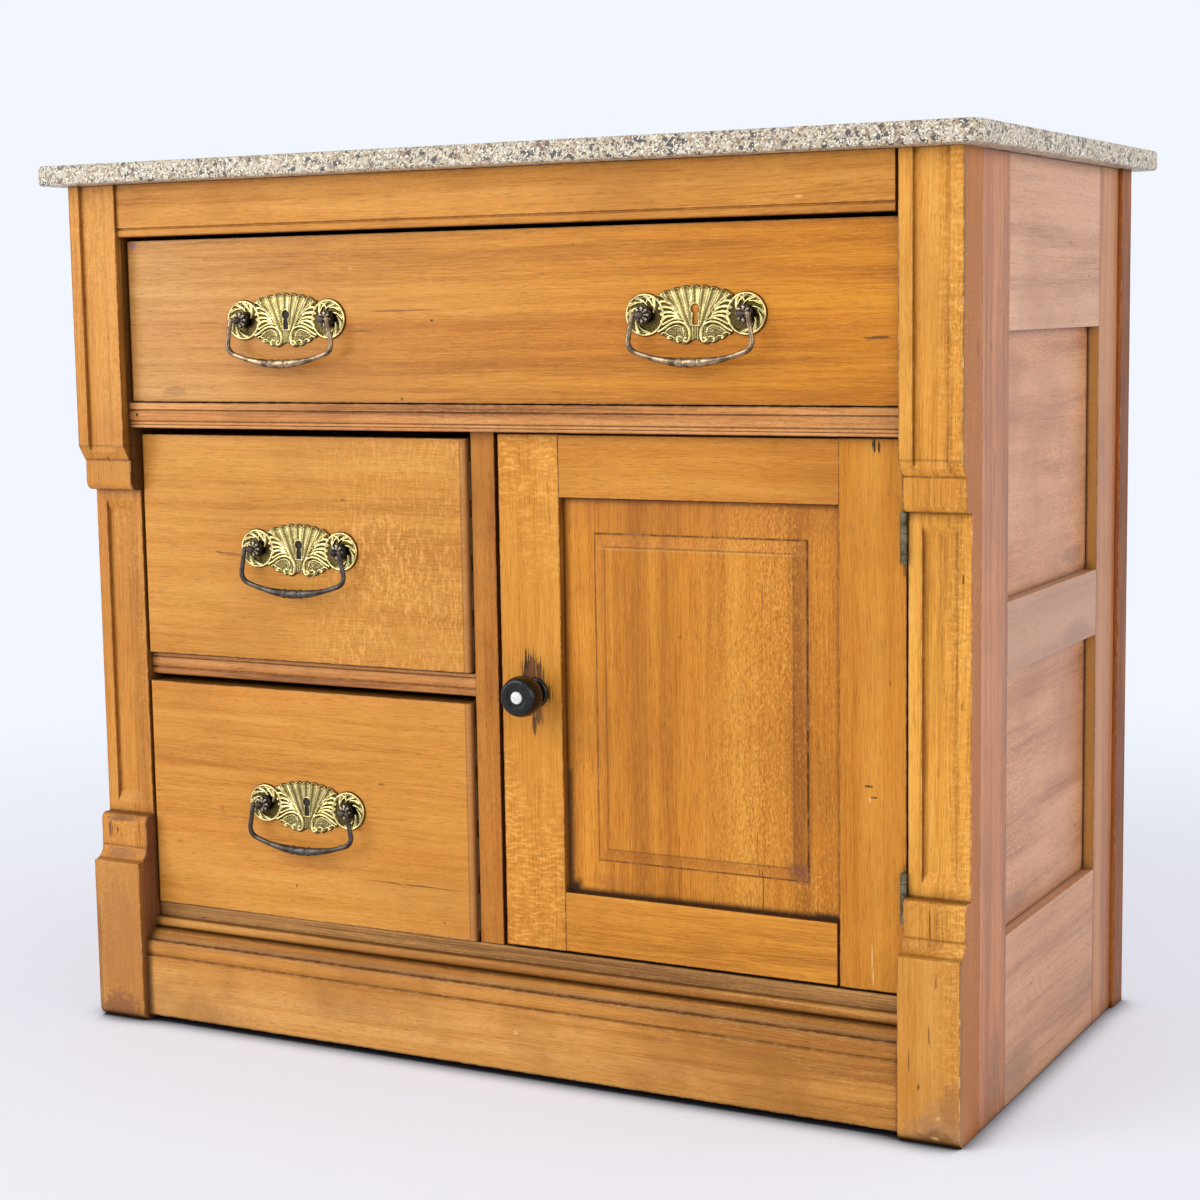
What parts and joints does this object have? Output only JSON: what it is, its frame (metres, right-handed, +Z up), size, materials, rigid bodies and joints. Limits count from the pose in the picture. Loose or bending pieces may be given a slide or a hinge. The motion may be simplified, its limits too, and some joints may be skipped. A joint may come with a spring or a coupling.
{
  "type": "washstand commode",
  "caption": "Low wooden chest with a wide drawer over stacked short drawers and a panelled door, stepped front posts, brass bail pulls and an overhanging stone top",
  "frame": {"origin": "on the floor, at the middle of the width and depth of the stone top", "axes": "+X to the right seen from the front, +Y to the back, +Z up; the drawers and the door face -Y"},
  "size_m": [0.758, 0.432, 0.673],
  "materials": {
    "stone": "polished speckled granite",
    "front_wood": "honey shellac over hardwood, worn",
    "drawer_wood": "honey shellac, worn",
    "door_wood": "honey shellac, worn",
    "panel_wood": "honey shellac, figured",
    "rail_wood": "darker shellac in the reeds",
    "side_wood": "brown shellac, worn",
    "side_panel_wood": "brown shellac",
    "inside_wood": "bare secondary wood",
    "brass": "stamped, tarnished in the hollows",
    "copper_bail": "worn copper wash",
    "iron": "dark, worn bright on the rounds",
    "ebonised": "turned and ebonised, semi-gloss",
    "porcelain": "glazed"
  },
  "bodies": {
    "carcase": {"stone_top": "stone", "left_front_post": "front_wood", "right_front_post": "front_wood", "left_front_stile": "side_wood", "right_front_stile": "side_wood", "left_back_stile": "side_wood", "right_back_stile": "side_wood", "left_side_rails": "side_wood", "right_side_rails": "side_wood", "left_side_panels": "side_panel_wood", "right_side_panels": "side_panel_wood", "frieze_rail": "front_wood", "waist_rail": "rail_wood", "drawer_rail": "rail_wood", "centre_stile": "rail_wood", "base_rail": "front_wood", "plinth_board": "front_wood", "partition": "inside_wood", "dust_board": "inside_wood", "cupboard_floor": "inside_wood", "back_boards": "inside_wood", "back_strips": "side_wood", "back_top_rail": "inside_wood", "drawer_runners": "inside_wood", "stop_blocks": "inside_wood", "hinge_frame_leaves": "iron", "hinge_pins": "iron", "frame_screws": "iron"},
    "top_drawer": {"top_drawer_front": "drawer_wood", "top_drawer_sides": "inside_wood", "top_drawer_back": "inside_wood", "top_drawer_bottom": "inside_wood", "top_pull_plates": "brass", "top_pull_posts": "iron"},
    "upper_drawer": {"upper_drawer_front": "drawer_wood", "upper_drawer_sides": "inside_wood", "upper_drawer_back": "inside_wood", "upper_drawer_bottom": "inside_wood", "upper_pull_plate": "brass", "upper_pull_posts": "iron"},
    "lower_drawer": {"lower_drawer_front": "drawer_wood", "lower_drawer_sides": "inside_wood", "lower_drawer_back": "inside_wood", "lower_drawer_bottom": "inside_wood", "lower_pull_plate": "brass", "lower_pull_posts": "iron"},
    "door": {"door_lock_stile": "door_wood", "door_hinge_stile": "door_wood", "door_rails": "door_wood", "door_panel": "panel_wood", "hinge_door_leaves": "iron", "door_screws": "iron", "knob_rose": "ebonised"},
    "knob": {"door_knob": "ebonised", "knob_stud": "porcelain", "door_latch": "iron"},
    "top_left_handle": {"top_left_bail": "copper_bail"},
    "top_right_handle": {"top_right_bail": "copper_bail"},
    "upper_handle": {"upper_bail": "iron"},
    "lower_handle": {"lower_bail": "iron"}
  },
  "joints": [
    {"name": "top_drawer_slide", "type": "slide", "parent": "carcase", "child": "top_drawer", "axis": [0, -1, 0], "range_m": [0, 0.28]},
    {"name": "upper_drawer_slide", "type": "slide", "parent": "carcase", "child": "upper_drawer", "axis": [0, -1, 0], "range_m": [0, 0.28]},
    {"name": "lower_drawer_slide", "type": "slide", "parent": "carcase", "child": "lower_drawer", "axis": [0, -1, 0], "range_m": [0, 0.28]},
    {"name": "door_hinge", "type": "hinge", "parent": "carcase", "child": "door", "pos_m": [0.3156, -0.179, 0.283], "axis": [0, 0, 1], "range_deg": [0, 100]},
    {"name": "knob_turn", "type": "hinge", "parent": "door", "child": "knob", "pos_m": [0.033, -0.1665, 0.2845], "axis": [0, 1, 0], "range_deg": [0, 90]},
    {"name": "top_left_bail_swing", "type": "hinge", "parent": "top_drawer", "child": "top_left_handle", "pos_m": [-0.1685, -0.196, 0.55375], "axis": [-1, 0, 0], "range_deg": [0, 170]},
    {"name": "top_right_bail_swing", "type": "hinge", "parent": "top_drawer", "child": "top_right_handle", "pos_m": [0.1685, -0.196, 0.55375], "axis": [-1, 0, 0], "range_deg": [0, 170]},
    {"name": "upper_bail_swing", "type": "hinge", "parent": "upper_drawer", "child": "upper_handle", "pos_m": [-0.1695, -0.187, 0.38075], "axis": [-1, 0, 0], "range_deg": [0, 170]},
    {"name": "lower_bail_swing", "type": "hinge", "parent": "lower_drawer", "child": "lower_handle", "pos_m": [-0.1695, -0.187, 0.1829], "axis": [-1, 0, 0], "range_deg": [0, 170]}
  ]
}
